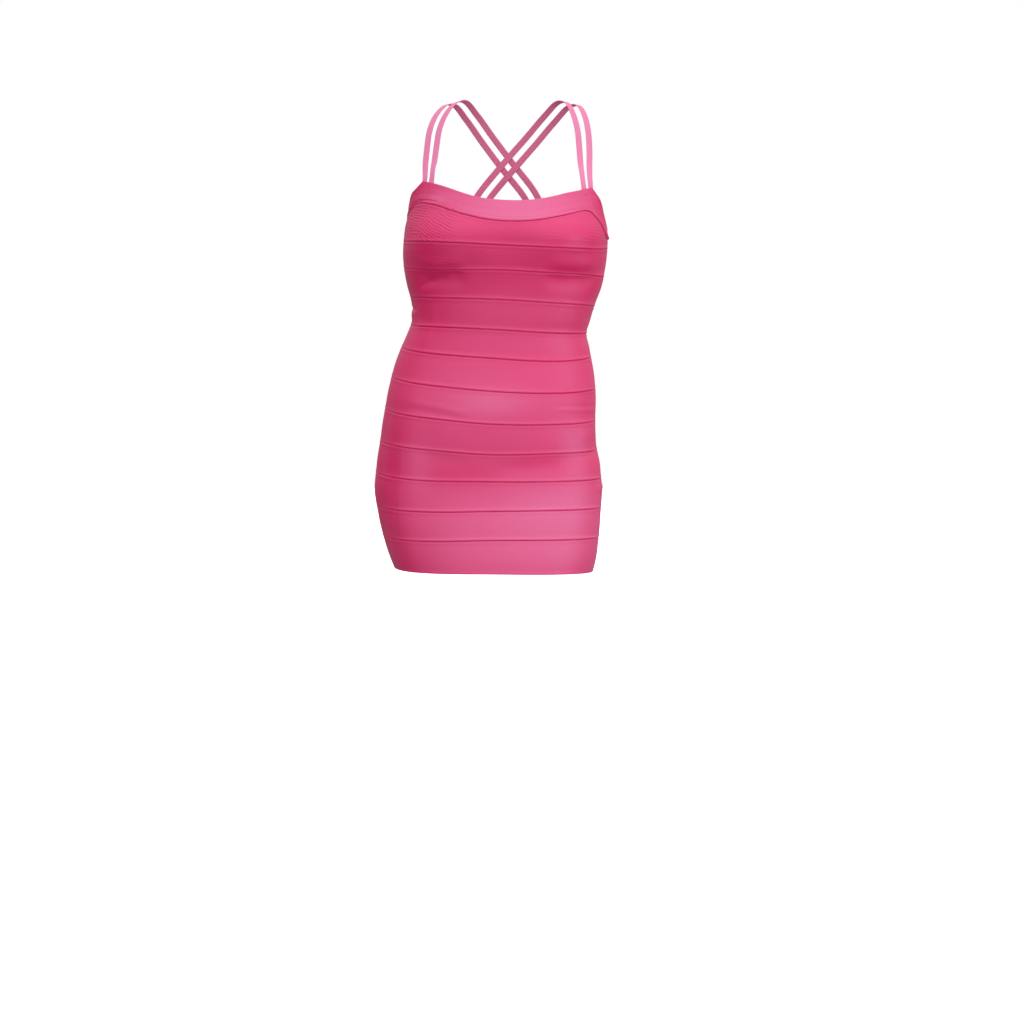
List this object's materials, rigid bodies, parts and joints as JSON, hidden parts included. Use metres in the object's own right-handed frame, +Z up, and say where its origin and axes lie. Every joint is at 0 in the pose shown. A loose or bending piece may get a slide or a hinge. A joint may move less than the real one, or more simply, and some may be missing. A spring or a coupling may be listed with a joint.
{
  "type": "bodycon dress",
  "caption": "Sleeveless bodycon mini dress in stacked horizontal knit bands, with a wide neckband and double straps that cross at the back; worn form, hollow.",
  "frame": {"origin": "midway between the shoulders, at the height where the straps rest on them", "axes": "+Z up, the front faces -Y, the wearer's left side is at +X"},
  "size_m": [0.3831, 0.293, 0.7732],
  "materials": {
    "pink_knit": "dense banded rayon knit, hot pink, soft satin sheen",
    "pale_elastic": "flat knitted elastic, paler pink, matt"
  },
  "bodies": {
    "root": {"top_band_front": "pink_knit", "top_band_back": "pink_knit", "band_01_front": "pink_knit", "band_01_back": "pink_knit", "band_02_front": "pink_knit", "band_02_back": "pink_knit", "band_03_front": "pink_knit", "band_03_back": "pink_knit", "band_04_front": "pink_knit", "band_04_back": "pink_knit", "band_05_front": "pink_knit", "band_05_back": "pink_knit", "band_06_front": "pink_knit", "band_06_back": "pink_knit", "band_07_front": "pink_knit", "band_07_back": "pink_knit", "band_08_front": "pink_knit", "band_08_back": "pink_knit", "band_09_front": "pink_knit", "band_09_back": "pink_knit", "band_10_front": "pink_knit", "band_10_back": "pink_knit", "band_11_front": "pink_knit", "band_11_back": "pink_knit", "band_12_front": "pink_knit", "band_12_back": "pink_knit", "strap_left_outer": "pale_elastic", "strap_left_inner": "pale_elastic", "strap_right_outer": "pale_elastic", "strap_right_inner": "pale_elastic"}
  },
  "joints": []
}
